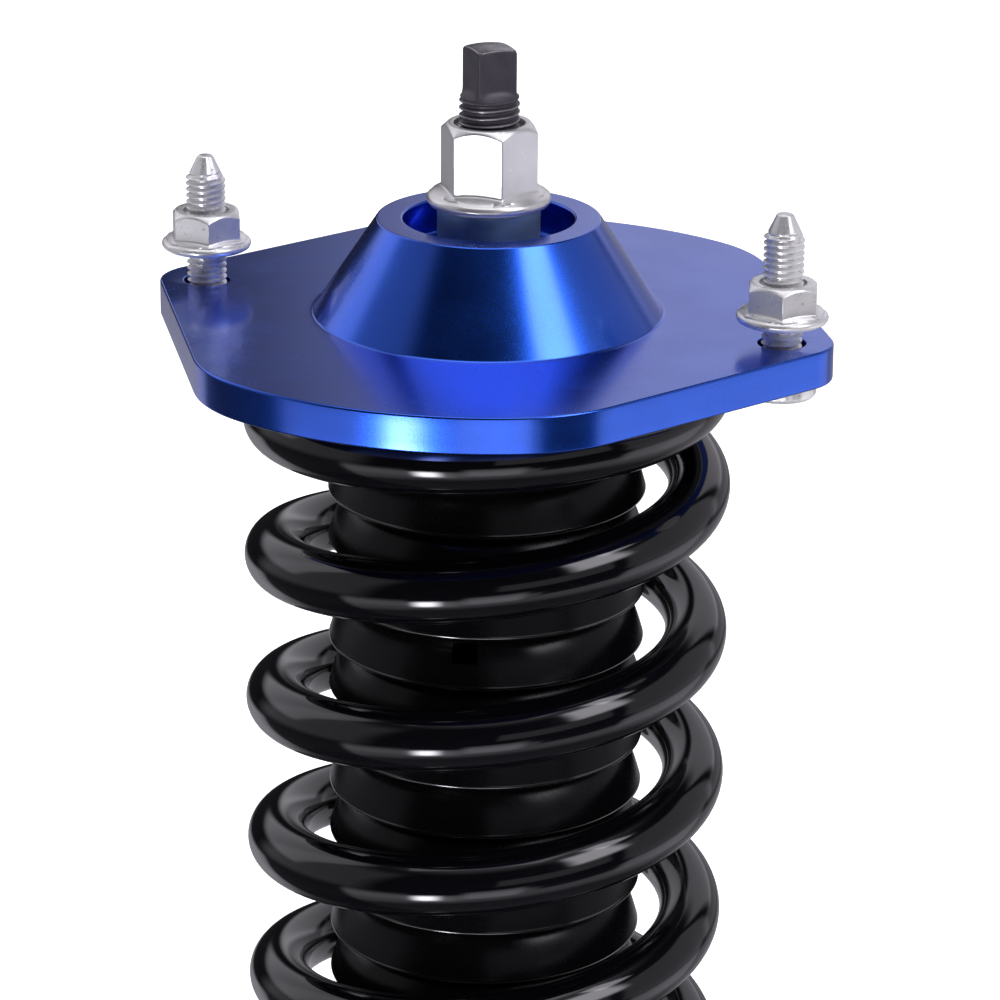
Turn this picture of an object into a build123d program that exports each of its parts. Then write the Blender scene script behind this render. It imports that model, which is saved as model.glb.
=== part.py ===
from build123d import *

import math
import os

# Coilover strut with a spherical-bearing top mount. Millimetres, +Z up along the damper's axis.
# The origin is the centre of the mount plate's top face; the two studs stand on the X axis.

# ---- driving dimensions ----
FIT_GAP = 0.05              # radial clearance of a running or threaded fit

# top mount
STUD_SPACING = 120.0
PLATE_R = 68.5              # round front and back of the plate
PLATE_T = 7.3
FLAT_DIST = 61.6            # the four long flats, from the middle of the outline
FLAT_ANGLE = 30.5           # each flat's normal, from the stud line
EAR_R = 10.6                # round of the ear about each stud
CORNER_R = 31.0             # between a flat and the round front or back
SET_BACK = 1.0              # the outline stands this far behind the stud line
EDGE_CHAMFER = 0.4
CONE_BASE_R = 34.5
CONE_TOP_R = 21.95
CONE_H = 19.0
RECESS_R = 16.8
RECESS_FLOOR_Z = 11.7
COLLAR_HOLE_R = 13.0
STUD_HOLE_R = 4.6

# spherical bearing
BALL_Z = 3.0
BALL_R = 11.5
BALL_HALF_H = 7.5
LINER_R_OUT = 12.45
LINER_HALF_H = 5.0
RACE_BORE_R = 12.5
RACE_R = 15.0
RACE_HALF_H = 5.5
CIRCLIP_T = 1.5
CIRCLIP_R = 16.2
CIRCLIP_HOLE_R = 12.9

# studs and their nuts (M8)
STUD_R = 4.0
STUD_THREAD_R = 3.6         # pitch radius, which the solid thread is held at
STUD_TIP_Z = 25.8
STUD_TAPER_L = 4.1
STUD_TIP_R = 1.35
STUD_LAND_TOP = 4.2
STUD_HEAD_R = 7.0
STUD_HEAD_T = 3.2
STUD_NUT_Z = {"right": 4.25, "left": 6.6}     # run part way down, clear of the plate
STUD_NUT_H = 8.0
STUD_NUT_AF = 13.0
STUD_NUT_FLANGE_R = 8.95
STUD_NUT_TURN = {"right": 46.1, "left": 56.6}

# rod and rod nut (M12)
ROD_R = 10.0
ROD_THREAD_R = 5.95
ROD_THREAD_TOP = 43.4
ROD_SQUARE_Z = 45.3         # where the square's flats run out into the thread
ROD_TOP_Z = 53.4
ROD_DOME_H = 1.0
ROD_SQUARE_AF = 8.1
ROD_SQUARE_CORNER_R = 5.6
ROD_SQUARE_TURN = 43.5
ROD_NUT_Z = 21.55
ROD_NUT_H = 16.6
ROD_NUT_AF = 17.0
ROD_NUT_FLANGE_R = 12.2
ROD_NUT_TURN = 4.7
COLLAR_R = 10.1
COLLAR_NECK_R = 8.5
COLLAR_BORE_R = 6.0

# spring seat under the mount, bump stop
HAT_TOP_Z = -11.0
HAT_SEAT_Z = -13.0
HAT_R = 49.0
HAT_SPIGOT_R = 35.6
HAT_SPIGOT_WALL = 2.2
HAT_SPIGOT_H = 5.5
ROD_SHOULDER_Z = -18.0
BUMP_R = 17.0
BUMP_L = 38.0

# coil spring
WIRE_R = 6.2
COIL_R = 42.3
PITCH = 30.7
ACTIVE_TURNS = 5.5
CLOSING_TURNS = (0.55, 0.53)     # end coil: first the steeper part, then the flatter end
CLOSING_PITCH = (23.4, 9.05)
SPRING_TIP_ANGLE = 99.2          # angle of the upper tip about Z
TIP_DROP = 0.1                   # wire centre below the seat at the ground tip

# dust boot
BOOT_R = 31.7
BOOT_GROOVE_R = 27.9
BOOT_WALL = 1.1
BOOT_PITCH = 10.5
BOOT_FOLDS = 17
BOOT_TOP_Z = HAT_SEAT_Z
BOOT_COLLAR_L = 4.0
BOOT_CUFF_L = 8.0
BOOT_RING_R = 27.0

# damper body
STROKE = 70.0
BODY_R = 25.0
BODY_BORE_R = 22.0
BODY_L = 206.0
BODY_FLOOR = 10.0
GLAND_CAP_T = 2.5
GLAND_CAP_R = 24.5
TOP_OUT_GAP = 0.2

# piston
PISTON_H = 12.0
SHIM_T = 2.0
PISTON_SPIGOT_L = 28.0

# spring perch and rings
SEAT_RING_T = 4.0
SEAT_R = 48.5
PERCH_FLANGE_T = 5.0
PERCH_H = 22.0
RING_R = 34.0
LOCK_RING_H = 10.0
SPANNER_SLOTS = 6
SLOT_W = 7.0
SLOT_DEPTH = 3.5

# lower bracket and bush
BRACKET_R = 31.0
BRACKET_TOP_Z = -297.0
BRACKET_BORE_FLOOR_Z = -348.0
BRACKET_FLOOR_Z = -354.0
EYE_Z = -381.0
EYE_R = 21.0
EYE_W = 40.0
BUSH_OUTER_R = 17.5
BUSH_SLEEVE_T = 1.3
BUSH_INNER_R = 9.5
BOLT_R = 6.1
BUSH_INNER_L = 46.0

# ---- derived places ----
STUD_X = STUD_SPACING / 2
CLOSING_RISE = sum(t * p for t, p in zip(CLOSING_TURNS, CLOSING_PITCH))
SPRING_L = 2 * (CLOSING_RISE + TIP_DROP) + ACTIVE_TURNS * PITCH
LOWER_SEAT_Z = HAT_SEAT_Z - SPRING_L
BUMP_BOTTOM_Z = ROD_SHOULDER_Z - BUMP_L
GLAND_TOP_Z = BUMP_BOTTOM_Z - STROKE - 1.5
BODY_TOP_Z = GLAND_TOP_Z - GLAND_CAP_T
BODY_BOTTOM_Z = BODY_TOP_Z - BODY_L
GUIDE_BOTTOM_Z = BODY_TOP_Z - 20.0
PISTON_TOP_Z = GUIDE_BOTTOM_Z - 6.0
BOOT_FOLDS_TOP_Z = BOOT_TOP_Z - BOOT_COLLAR_L
BOOT_FOLDS_BOTTOM_Z = BOOT_FOLDS_TOP_Z - BOOT_FOLDS * BOOT_PITCH


# ---- shared shapes ----
def turned(points):
    """Solid of revolution about Z from (radius, z) points."""
    with BuildPart() as p:
        with BuildSketch(Plane.XZ):
            with BuildLine():
                Polyline(*points, close=True)
            make_face()
        revolve(axis=Axis.Z)
    return p.part


def ring(r_out, r_in, z_low, z_high, chamfer=0.0):
    c = chamfer
    if not c:
        return turned([(r_in, z_low), (r_out, z_low), (r_out, z_high), (r_in, z_high)])
    return turned([(r_in, z_low), (r_out - c, z_low), (r_out, z_low + c),
                   (r_out, z_high - c), (r_out - c, z_high), (r_in, z_high)])


def hexagon_prism(across_flats, z_low, z_high, turn):
    corner_r = across_flats / math.sqrt(3)
    with BuildPart() as p:
        with BuildSketch(Plane.XY.offset(z_low)):
            RegularPolygon(radius=corner_r, side_count=6, rotation=turn)
        extrude(amount=z_high - z_low)
    return p.part


def flange_nut(across_flats, flange_r, z, height, bore_r, turn):
    """Hexagon with a chamfered, countersunk top on a conical flange with a rounded rim."""
    corner_r = across_flats / math.sqrt(3)
    rim = 0.2 * flange_r
    cone_top = rim + 0.28 * (flange_r - across_flats / 2)
    top = z + height
    hexagon = hexagon_prism(across_flats, z + 0.5 * rim, top, turn)
    chamfer_r = 0.46 * across_flats
    chamfer_drop = (corner_r - chamfer_r) * math.tan(math.radians(30))
    crown = turned([(0, z), (corner_r + 1, z), (corner_r + 1, top - chamfer_drop),
                    (corner_r, top - chamfer_drop), (chamfer_r, top), (0, top)])
    flange = turned([(0, z), (flange_r - 0.4 * rim, z), (flange_r - 0.1 * rim, z + 0.3 * rim),
                     (flange_r, z + 0.6 * rim), (flange_r - 0.15 * rim, z + 0.9 * rim),
                     (flange_r - 0.4 * rim, z + rim), (0.5 * across_flats, z + cone_top), (0, z + cone_top)])
    sink = 0.8
    hole = turned([(0, z - 1), (bore_r, z - 1), (bore_r, top - sink),
                   (bore_r + sink, top), (bore_r + sink, top + 1), (0, top + 1)])
    return (hexagon & crown) + flange - hole


def spanner_ring(r_out, r_in, z_low, z_high, chamfer=1.0):
    """Ring with hook-spanner slots round its rim."""
    body = ring(r_out, r_in, z_low, z_high, chamfer)
    for i in range(SPANNER_SLOTS):
        slot = Box(2 * SLOT_DEPTH, SLOT_W, z_high - z_low + 2)
        slot = Pos(r_out, 0, (z_low + z_high) / 2) * slot
        body -= Rot(0, 0, 360 / SPANNER_SLOTS * (i + 0.5)) * slot
    return body


# ---- top mount ----
def plate_outline():
    """Round plate with four long flats that run out into an ear at each stud."""
    a = math.radians(FLAT_ANGLE)
    tip_x = FLAT_DIST / math.cos(a)
    tip_y = FLAT_DIST / math.sin(a)
    diamond = make_face(Polyline((tip_x, 0), (0, tip_y), (-tip_x, 0), (0, -tip_y), close=True))
    ears = diamond.vertices().filter_by(lambda v: abs(v.Y) < 1)
    diamond = fillet(ears, radius=EAR_R)
    outline = diamond & (Circle(PLATE_R) + Rectangle(4 * PLATE_R, 2 * EAR_R))
    corners = outline.vertices().filter_by(lambda v: abs(v.Y) > 2 * EAR_R)
    return fillet(corners, radius=CORNER_R)


def mount_plate():
    plate = extrude(Pos(0, SET_BACK, -PLATE_T) * plate_outline(), amount=PLATE_T)
    outside = plate.edges().filter_by_position(Axis.Z, -0.01, 0.01)
    plate = chamfer(outside, length=EDGE_CHAMFER)
    cone = turned([(0, -1), (CONE_BASE_R, -1), (CONE_BASE_R, 0), (CONE_TOP_R + 0.25, CONE_H - 0.35),
                   (CONE_TOP_R - 0.2, CONE_H), (0, CONE_H)])
    race_top = BALL_Z + RACE_HALF_H
    race_bottom = BALL_Z - RACE_HALF_H
    hollow = turned([(0, -PLATE_T - 1), (RACE_R + 1, -PLATE_T - 1), (RACE_R + 1, -PLATE_T),
                     (RACE_R, -PLATE_T + 1), (RACE_R, race_bottom - CIRCLIP_T),
                     (CIRCLIP_R, race_bottom - CIRCLIP_T), (CIRCLIP_R, race_bottom), (RACE_R, race_bottom),
                     (RACE_R, race_top), (COLLAR_HOLE_R, race_top), (COLLAR_HOLE_R, RECESS_FLOOR_Z),
                     (RECESS_R - 0.8, RECESS_FLOOR_Z), (RECESS_R, RECESS_FLOOR_Z + 0.8),
                     (RECESS_R, CONE_H - 0.3), (RECESS_R + 0.3, CONE_H), (RECESS_R + 0.3, CONE_H + 1),
                     (0, CONE_H + 1)])
    part = plate + cone - hollow
    for side in (-1, 1):
        part -= Pos(side * STUD_X, 0, -PLATE_T / 2) * Cylinder(STUD_HOLE_R, PLATE_T + 2)
    return part


def mount_stud(side):
    """Press-in stud: round knurled head, knurled neck in the plate, thread and a pointed tip."""
    neck_top = -PLATE_T + 3.5
    profile = [(0, -PLATE_T - STUD_HEAD_T), (STUD_HEAD_R - 0.4, -PLATE_T - STUD_HEAD_T),
               (STUD_HEAD_R, -PLATE_T - STUD_HEAD_T + 0.4), (STUD_HEAD_R, -PLATE_T),
               (STUD_HOLE_R, -PLATE_T), (STUD_HOLE_R, neck_top), (STUD_THREAD_R, neck_top),
               (STUD_THREAD_R, 0), (STUD_R, 0), (STUD_R, STUD_LAND_TOP),
               (STUD_THREAD_R, STUD_LAND_TOP), (STUD_THREAD_R, STUD_TIP_Z - STUD_TAPER_L),
               (STUD_TIP_R, STUD_TIP_Z), (0, STUD_TIP_Z)]
    return Pos(side * STUD_X, 0, 0) * turned(profile)


def stud_nut(side):
    name = "right" if side > 0 else "left"
    nut = flange_nut(STUD_NUT_AF, STUD_NUT_FLANGE_R, STUD_NUT_Z[name], STUD_NUT_H,
                     STUD_THREAD_R + FIT_GAP, STUD_NUT_TURN[name])
    return Pos(side * STUD_X, 0, 0) * nut


# ---- spherical bearing ----
def sphere_slice(radius, half_height):
    return Pos(0, 0, BALL_Z) * (Sphere(radius) & Cylinder(radius + 1, 2 * half_height))


def bearing_race():
    return ring(RACE_R, 0.0, BALL_Z - RACE_HALF_H, BALL_Z + RACE_HALF_H) \
        - Pos(0, 0, BALL_Z) * Sphere(RACE_BORE_R)


def bearing_circlip():
    z_high = BALL_Z - RACE_HALF_H
    clip = ring(CIRCLIP_R, CIRCLIP_HOLE_R, z_high - CIRCLIP_T, z_high)
    gap = Pos(CIRCLIP_R, 0, z_high - CIRCLIP_T / 2) * Box(8, 5, 2 * CIRCLIP_T)
    return clip - gap


def bearing_liner():
    return sphere_slice(LINER_R_OUT, LINER_HALF_H) - Pos(0, 0, BALL_Z) * Sphere(BALL_R + FIT_GAP)


def bearing_ball():
    return sphere_slice(BALL_R, BALL_HALF_H) - Pos(0, 0, BALL_Z) * Cylinder(COLLAR_BORE_R, 3 * BALL_R)


def upper_collar():
    z_low = BALL_Z + BALL_HALF_H
    return turned([(COLLAR_BORE_R, z_low), (COLLAR_NECK_R, z_low), (COLLAR_NECK_R, z_low + 1.2),
                   (COLLAR_R, z_low + 2.4), (COLLAR_R, ROD_NUT_Z), (COLLAR_BORE_R, ROD_NUT_Z)])


def lower_collar():
    z_high = BALL_Z - BALL_HALF_H
    return turned([(COLLAR_BORE_R, HAT_TOP_Z), (COLLAR_R, HAT_TOP_Z), (COLLAR_R, z_high - 2.4),
                   (COLLAR_NECK_R, z_high - 1.2), (COLLAR_NECK_R, z_high), (COLLAR_BORE_R, z_high)])


# ---- rod side ----
def square_drive_cut():
    """What is cut away round the square end, with flats that flare out into the thread."""
    flare_af = 2 * ROD_THREAD_R
    shank_h = ROD_TOP_Z - ROD_SQUARE_Z + 1
    square = Pos(0, 0, ROD_SQUARE_Z + shank_h / 2) * Box(ROD_SQUARE_AF, ROD_SQUARE_AF, shank_h)
    flare = loft([Plane.XY.offset(ROD_THREAD_TOP) * Rectangle(flare_af, flare_af),
                  Plane.XY.offset(ROD_SQUARE_Z) * Rectangle(ROD_SQUARE_AF, ROD_SQUARE_AF)])
    blank_h = ROD_TOP_Z + 1 - ROD_THREAD_TOP
    blank = Pos(0, 0, ROD_THREAD_TOP + blank_h / 2) * Cylinder(ROD_R, blank_h)
    return Rot(0, 0, ROD_SQUARE_TURN) * (blank - square - flare)


def damper_rod():
    """Rod with its piston spigot below and, above, the M12 end with a square drive."""
    foot = PISTON_TOP_Z + SHIM_T
    spigot_z = foot - PISTON_SPIGOT_L
    shoulder_z = ROD_TOP_Z - ROD_DOME_H
    profile = [(0, spigot_z), (ROD_THREAD_R - 0.6, spigot_z), (ROD_THREAD_R, spigot_z + 0.6),
               (ROD_THREAD_R, foot), (ROD_R - 0.5, foot), (ROD_R, foot + 0.5),
               (ROD_R, ROD_SHOULDER_Z - 0.5), (ROD_R - 0.5, ROD_SHOULDER_Z),
               (ROD_THREAD_R, ROD_SHOULDER_Z), (ROD_THREAD_R, ROD_THREAD_TOP),
               (ROD_SQUARE_CORNER_R, ROD_SQUARE_Z - 1), (ROD_SQUARE_CORNER_R, shoulder_z),
               (0.55 * ROD_SQUARE_CORNER_R, ROD_TOP_Z - 0.25), (0, ROD_TOP_Z)]
    return turned(profile) - square_drive_cut()


def rod_nut():
    return flange_nut(ROD_NUT_AF, ROD_NUT_FLANGE_R, ROD_NUT_Z, ROD_NUT_H, COLLAR_BORE_R, ROD_NUT_TURN)


def spring_hat():
    """Upper spring seat: thin disc, a ring inside the coil and a hub clamped on the rod's shoulder."""
    inner_r = HAT_SPIGOT_R - HAT_SPIGOT_WALL
    spigot_z = HAT_SEAT_Z - HAT_SPIGOT_H
    return turned([(COLLAR_BORE_R, ROD_SHOULDER_Z), (14.0, ROD_SHOULDER_Z), (16.0, HAT_SEAT_Z),
                   (inner_r, HAT_SEAT_Z), (inner_r, spigot_z), (HAT_SPIGOT_R - 0.8, spigot_z),
                   (HAT_SPIGOT_R, spigot_z + 1.5), (HAT_SPIGOT_R, HAT_SEAT_Z),
                   (HAT_R, HAT_SEAT_Z), (HAT_R, HAT_TOP_Z + 0.3), (HAT_R - 0.3, HAT_TOP_Z),
                   (COLLAR_BORE_R, HAT_TOP_Z)])


def bump_stop():
    """Foam stop with two waists, pushed on the rod under the hat."""
    inner = ROD_R + FIT_GAP
    top = ROD_SHOULDER_Z
    third = BUMP_L / 3
    points = [(inner, top), (BUMP_R - 2, top), (BUMP_R, top - 2)]
    for i in (1, 2):
        waist = top - i * third
        points += [(BUMP_R, waist + 2.5), (BUMP_R - 3, waist), (BUMP_R, waist - 2.5)]
    points += [(BUMP_R, BUMP_BOTTOM_Z + 4), (BUMP_R - 3.5, BUMP_BOTTOM_Z), (inner, BUMP_BOTTOM_Z)]
    return turned(points)


def helix_rod(z_low, turns, pitch, start_angle):
    """Round wire along one helix from start_angle upwards; both ends lie in planes through the axis."""
    path = Helix(pitch=pitch, height=turns * pitch, radius=COIL_R)
    path = Pos(0, 0, z_low) * Rot(0, 0, start_angle) * path
    a = math.radians(start_angle)
    level_tangent = (-math.sin(a), math.cos(a), 0)
    section = Plane(origin=path @ 0, z_dir=level_tangent) * Circle(WIRE_R)
    return sweep(section, path=path, is_frenet=True)


def coil_spring():
    """Right-hand coil with closed ends that are ground flat on both seats."""
    near, tip = CLOSING_TURNS
    turns = [tip, near, ACTIVE_TURNS, near, tip]
    pitches = [CLOSING_PITCH[1], CLOSING_PITCH[0], PITCH, CLOSING_PITCH[0], CLOSING_PITCH[1]]
    z = LOWER_SEAT_Z + TIP_DROP
    angle = SPRING_TIP_ANGLE - 360 * sum(turns)
    keep = Pos(0, 0, (HAT_SEAT_Z + LOWER_SEAT_Z) / 2) * Cylinder(COIL_R + 2 * WIRE_R, SPRING_L)
    wire = None
    for n, pitch in zip(turns, pitches):
        piece = helix_rod(z, n, pitch, angle) & keep
        wire = piece if wire is None else wire + piece
        z += n * pitch
        angle += 360 * n
    return wire


def boot_wall(offset):
    """Outline of the bellows, top to bottom, moved in from the outside by offset."""
    points = []
    for i in range(BOOT_FOLDS):
        top = BOOT_FOLDS_TOP_Z - i * BOOT_PITCH
        points += [(BOOT_GROOVE_R - offset, top), (BOOT_R - 1.5 - offset, top - 0.46 * BOOT_PITCH),
                   (BOOT_R - offset, top - 0.83 * BOOT_PITCH), (BOOT_R - 0.3 - offset, top - 0.87 * BOOT_PITCH)]
    points.append((BOOT_GROOVE_R - offset, BOOT_FOLDS_BOTTOM_Z))
    return points


def dust_boot():
    cuff_in = BOOT_RING_R + FIT_GAP
    cuff_low = BOOT_FOLDS_BOTTOM_Z - BOOT_CUFF_L
    top_r = BOOT_R - 0.6
    outer = [(top_r, BOOT_TOP_Z), (top_r, BOOT_FOLDS_TOP_Z)] + boot_wall(0)
    inner = boot_wall(BOOT_WALL)[::-1]
    cuff = [(cuff_in + 1.6, BOOT_FOLDS_BOTTOM_Z - 1), (cuff_in + 1.6, cuff_low), (cuff_in, cuff_low),
            (cuff_in, BOOT_FOLDS_BOTTOM_Z - 1)]
    top = [(BOOT_GROOVE_R - BOOT_WALL, BOOT_TOP_Z)]
    return turned(outer + cuff + inner + top)


def piston():
    body = ring(BODY_BORE_R - 2 * FIT_GAP, ROD_THREAD_R + FIT_GAP, PISTON_TOP_Z - PISTON_H, PISTON_TOP_Z, 0.6)
    return body - ring(BODY_BORE_R + 1, BODY_BORE_R - 1.6, PISTON_TOP_Z - 9, PISTON_TOP_Z - 3)


def piston_band():
    return ring(BODY_BORE_R - FIT_GAP, BODY_BORE_R - 1.6, PISTON_TOP_Z - 9, PISTON_TOP_Z - 3)


def shim_stack(z_low):
    return ring(15.0, ROD_THREAD_R + FIT_GAP, z_low, z_low + SHIM_T, 0.5)


def piston_nut():
    z_high = PISTON_TOP_Z - PISTON_H - SHIM_T
    body = hexagon_prism(17.0, z_high - 9, z_high, 0.0)
    return body - Pos(0, 0, z_high - 4.5) * Cylinder(COLLAR_BORE_R, 12)


def top_out_spacer():
    return ring(13.5, ROD_R + FIT_GAP, PISTON_TOP_Z + SHIM_T, GUIDE_BOTTOM_Z - TOP_OUT_GAP)


# ---- cylinder side ----
def damper_body():
    """Threaded tube closed at its foot; the thread is held at its major diameter."""
    return turned([(0, BODY_BOTTOM_Z), (BODY_R - 1.5, BODY_BOTTOM_Z), (BODY_R, BODY_BOTTOM_Z + 1.5),
                   (BODY_R, BODY_TOP_Z - 1), (BODY_R - 1, BODY_TOP_Z), (BODY_BORE_R, BODY_TOP_Z),
                   (BODY_BORE_R, BODY_BOTTOM_Z + BODY_FLOOR), (0, BODY_BOTTOM_Z + BODY_FLOOR)])


def gland_nut():
    cap_low = BODY_TOP_Z
    cap = turned([(ROD_R + 0.5, cap_low - 8), (BODY_BORE_R - FIT_GAP, cap_low - 8),
                  (BODY_BORE_R - FIT_GAP, cap_low), (GLAND_CAP_R, cap_low),
                  (GLAND_CAP_R, GLAND_TOP_Z - 0.6), (GLAND_CAP_R - 0.6, GLAND_TOP_Z), (ROD_R + 0.5, GLAND_TOP_Z)])
    pocket = Pos(0, 0, cap_low - 4) * Cylinder(15.0, 8)
    for i in range(4):
        hole = Rot(0, 0, 45 + 90 * i) * Pos(19.5, 0, GLAND_TOP_Z) * Cylinder(2.0, 4)
        cap -= hole
    return cap - pocket


def rod_seal():
    return ring(15.0, ROD_R + FIT_GAP, BODY_TOP_Z - 8, BODY_TOP_Z)


def rod_guide():
    return ring(BODY_BORE_R - FIT_GAP, ROD_R + FIT_GAP, GUIDE_BOTTOM_Z, BODY_TOP_Z - 8)


def floating_piston():
    top = BODY_BOTTOM_Z + BODY_FLOOR + 42
    return turned([(0, top - 12), (BODY_BORE_R - FIT_GAP, top - 12), (BODY_BORE_R - FIT_GAP, top),
                   (12, top), (12, top - 5), (0, top - 5)])


def boot_ring():
    z_low = BOOT_FOLDS_BOTTOM_Z - BOOT_CUFF_L
    return ring(BOOT_RING_R, BODY_R, z_low, z_low + BOOT_CUFF_L - 1)


# ---- spring perch ----
def seat_ring():
    """Slip ring that the coil stands on, with a rim inside the coil."""
    rim_z = LOWER_SEAT_Z + 5.0
    low = LOWER_SEAT_Z - SEAT_RING_T
    return turned([(BODY_R + 1.0, low), (SEAT_R, low), (SEAT_R, LOWER_SEAT_Z), (HAT_SPIGOT_R, LOWER_SEAT_Z),
                   (HAT_SPIGOT_R, rim_z - 1.5), (HAT_SPIGOT_R - 1, rim_z), (30.0, rim_z),
                   (30.0, LOWER_SEAT_Z), (BODY_R + 1.0, LOWER_SEAT_Z)])


def spring_perch():
    top = LOWER_SEAT_Z - SEAT_RING_T
    bore = BODY_R + FIT_GAP
    hub = spanner_ring(RING_R, bore, top - PERCH_H, top - PERCH_FLANGE_T + 1)
    flange = turned([(bore, top - PERCH_FLANGE_T - 2), (RING_R, top - PERCH_FLANGE_T - 2),
                     (SEAT_R - 2, top - PERCH_FLANGE_T + 1), (SEAT_R - 1, top - 1), (SEAT_R - 1.6, top),
                     (bore, top)])
    return hub + flange


def perch_lock_ring():
    top = LOWER_SEAT_Z - SEAT_RING_T - PERCH_H - 0.3
    return spanner_ring(RING_R, BODY_R + FIT_GAP, top - LOCK_RING_H, top)


# ---- lower bracket ----
def bracket_lock_ring():
    top = BRACKET_TOP_Z + LOCK_RING_H
    return spanner_ring(RING_R, BODY_R + FIT_GAP, BRACKET_TOP_Z, top)


def lower_bracket():
    """Threaded cup with an eye across its foot."""
    cup = ring(BRACKET_R, 0.0, BRACKET_FLOOR_Z, BRACKET_TOP_Z, 1.5)
    eye = Pos(0, 0, EYE_Z) * Rot(0, 90, 0) * Cylinder(EYE_R, EYE_W)
    web_h = BRACKET_FLOOR_Z - EYE_Z
    web = Pos(0, 0, EYE_Z + web_h / 2) * Box(EYE_W - 8, 2 * EYE_R - 6, web_h + 2)
    bore = Pos(0, 0, (BRACKET_TOP_Z + BRACKET_BORE_FLOOR_Z) / 2) * \
        Cylinder(BODY_R + FIT_GAP, BRACKET_TOP_Z - BRACKET_BORE_FLOOR_Z)
    eye_bore = Pos(0, 0, EYE_Z) * Rot(0, 90, 0) * Cylinder(BUSH_OUTER_R, EYE_W + 2)
    return cup + eye + web - bore - eye_bore


def cross_tube(r_out, r_in, length):
    """Tube along X through the lower eye."""
    tube = Cylinder(r_out, length) - Cylinder(r_in, length + 2)
    return Pos(0, 0, EYE_Z) * Rot(0, 90, 0) * tube


def bush_outer_sleeve():
    return cross_tube(BUSH_OUTER_R, BUSH_OUTER_R - BUSH_SLEEVE_T, EYE_W)


def bush_rubber():
    return cross_tube(BUSH_OUTER_R - BUSH_SLEEVE_T, BUSH_INNER_R + FIT_GAP, EYE_W - 2)


def bush_inner_sleeve():
    return cross_tube(BUSH_INNER_R, BOLT_R, BUSH_INNER_L)


NODES = {
    "mount_plate": mount_plate,
    "mount_stud_right": lambda: mount_stud(1),
    "mount_stud_left": lambda: mount_stud(-1),
    "stud_nut_right": lambda: stud_nut(1),
    "stud_nut_left": lambda: stud_nut(-1),
    "bearing_race": bearing_race,
    "bearing_circlip": bearing_circlip,
    "bearing_liner": bearing_liner,
    "bearing_ball": bearing_ball,
    "upper_collar": upper_collar,
    "lower_collar": lower_collar,
    "damper_rod": damper_rod,
    "rod_nut": rod_nut,
    "spring_hat": spring_hat,
    "bump_stop": bump_stop,
    "coil_spring": coil_spring,
    "dust_boot": dust_boot,
    "top_out_spacer": top_out_spacer,
    "rebound_shims": lambda: shim_stack(PISTON_TOP_Z),
    "piston": piston,
    "piston_band": piston_band,
    "compression_shims": lambda: shim_stack(PISTON_TOP_Z - PISTON_H - SHIM_T),
    "piston_nut": piston_nut,
    "damper_body": damper_body,
    "gland_nut": gland_nut,
    "rod_seal": rod_seal,
    "rod_guide": rod_guide,
    "floating_piston": floating_piston,
    "boot_ring": boot_ring,
    "seat_ring": seat_ring,
    "spring_perch": spring_perch,
    "perch_lock_ring": perch_lock_ring,
    "bracket_lock_ring": bracket_lock_ring,
    "lower_bracket": lower_bracket,
    "bush_outer_sleeve": bush_outer_sleeve,
    "bush_rubber": bush_rubber,
    "bush_inner_sleeve": bush_inner_sleeve,
}


def main():
    os.makedirs("parts", exist_ok=True)
    print("spring length", round(SPRING_L, 2), "lower seat", round(LOWER_SEAT_Z, 2))
    print("gland top", GLAND_TOP_Z, "body bottom", BODY_BOTTOM_Z, "boot bottom", BOOT_FOLDS_BOTTOM_Z - BOOT_CUFF_L)
    for name, make in NODES.items():
        export_step(make(), f"parts/{name}.step")


main()
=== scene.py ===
from math import asin, atan2, ceil, cos, exp, hypot, log, pi, radians, sin, sqrt, tan

import bmesh
import bpy
import numpy as np
from mathutils import Matrix, Vector


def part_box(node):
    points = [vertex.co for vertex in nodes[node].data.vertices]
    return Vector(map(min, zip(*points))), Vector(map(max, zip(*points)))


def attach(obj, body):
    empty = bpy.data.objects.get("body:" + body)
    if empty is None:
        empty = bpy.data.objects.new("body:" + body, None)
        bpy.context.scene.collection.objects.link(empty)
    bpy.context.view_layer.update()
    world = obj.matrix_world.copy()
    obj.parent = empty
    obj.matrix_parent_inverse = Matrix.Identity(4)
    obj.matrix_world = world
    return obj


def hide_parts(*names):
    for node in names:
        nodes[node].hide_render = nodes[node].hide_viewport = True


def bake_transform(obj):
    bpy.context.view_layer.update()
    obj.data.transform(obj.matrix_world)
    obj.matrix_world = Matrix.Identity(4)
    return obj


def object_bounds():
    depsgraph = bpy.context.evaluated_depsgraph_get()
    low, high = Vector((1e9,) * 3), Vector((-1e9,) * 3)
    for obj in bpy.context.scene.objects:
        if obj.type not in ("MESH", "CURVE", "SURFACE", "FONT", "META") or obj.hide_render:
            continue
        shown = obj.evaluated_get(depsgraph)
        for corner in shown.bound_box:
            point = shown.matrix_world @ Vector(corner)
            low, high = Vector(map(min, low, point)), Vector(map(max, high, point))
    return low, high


# Coilover strut. Lengths in this file are in millimetres until mesh() turns them into metres.

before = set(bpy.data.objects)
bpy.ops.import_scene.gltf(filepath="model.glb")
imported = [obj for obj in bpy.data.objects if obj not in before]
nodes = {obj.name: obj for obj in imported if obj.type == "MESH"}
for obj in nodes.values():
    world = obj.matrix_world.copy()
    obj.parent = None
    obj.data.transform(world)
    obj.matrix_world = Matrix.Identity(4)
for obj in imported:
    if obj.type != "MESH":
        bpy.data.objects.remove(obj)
cad_low, cad_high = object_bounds()
MM = 0.001
TAU = 2 * pi


def span(node):
    """Lowest and highest Z of a CAD node."""
    low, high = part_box(node)
    return low[2] / MM, high[2] / MM


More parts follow.
